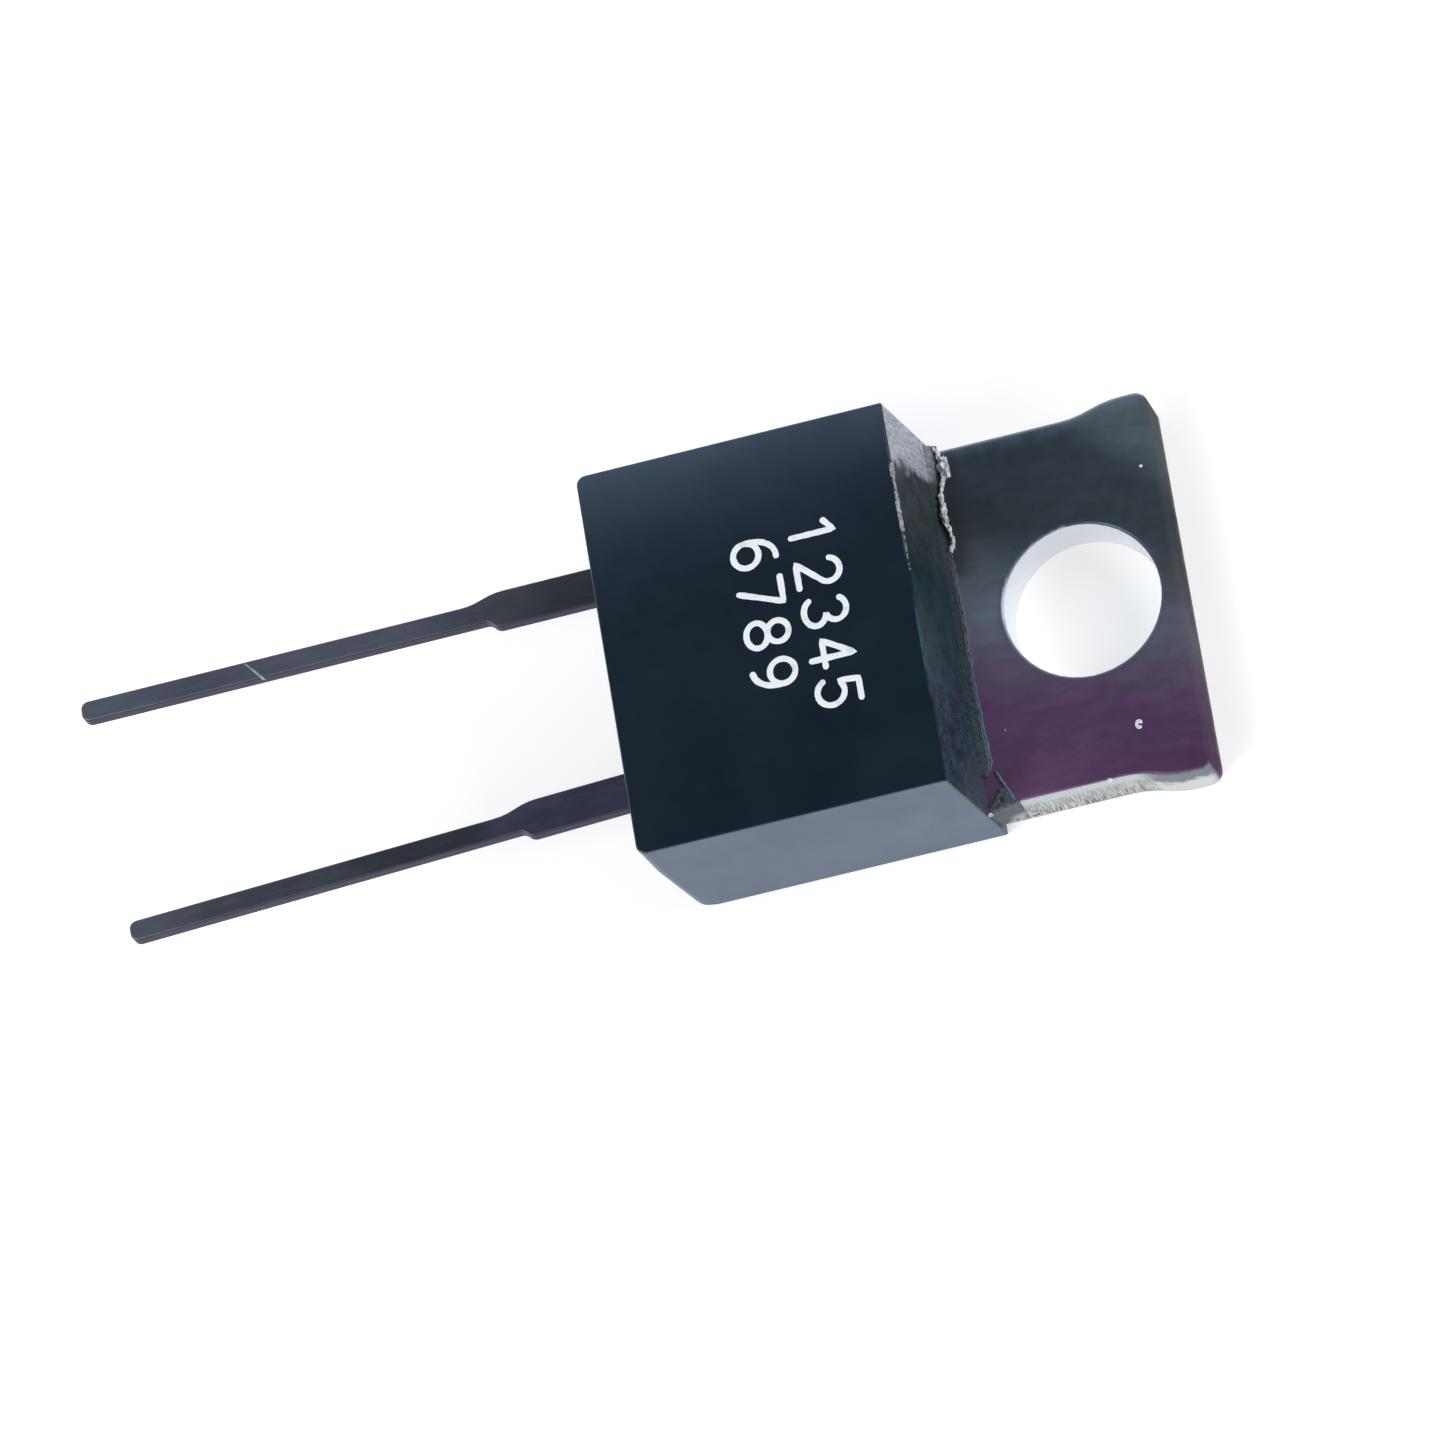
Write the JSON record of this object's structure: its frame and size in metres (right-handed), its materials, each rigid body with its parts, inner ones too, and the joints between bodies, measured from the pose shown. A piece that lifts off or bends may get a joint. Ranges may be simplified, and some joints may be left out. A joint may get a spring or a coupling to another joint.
{
  "type": "power resistor",
  "caption": "Two-lead power resistor: thick-film element on a ceramic plate in a moulded epoxy case, on a metal tab that bolts to a heatsink.",
  "frame": {"origin": "centre of the mounting hole, on the mounting face", "axes": "+X from the leads to the free end of the tab, +Y to the left lead, +Z from the mounting face to the marked face"},
  "size_m": [0.0277, 0.0102, 0.0045],
  "materials": {
    "plated_copper": "dark plated copper, satin",
    "epoxy": "blue-black moulded epoxy, satin",
    "tinned_lead": "dull tinned copper",
    "alumina": "fired, matte",
    "solder": "reflowed solder",
    "printed_silver": "printed and fired silver",
    "resistor_ink": "printed and fired resistor ink",
    "overglaze": "green glass glaze"
  },
  "bodies": {
    "root": {"heat_tab": "plated_copper", "epoxy_case": "epoxy", "lead_left": "tinned_lead", "lead_right": "tinned_lead", "ceramic_substrate": "alumina", "solder_layer": "solder", "solder_joint_left": "solder", "solder_joint_right": "solder", "conductor_pad_left": "printed_silver", "conductor_pad_right": "printed_silver", "resistor_film": "resistor_ink", "glass_overglaze": "overglaze"}
  },
  "joints": []
}
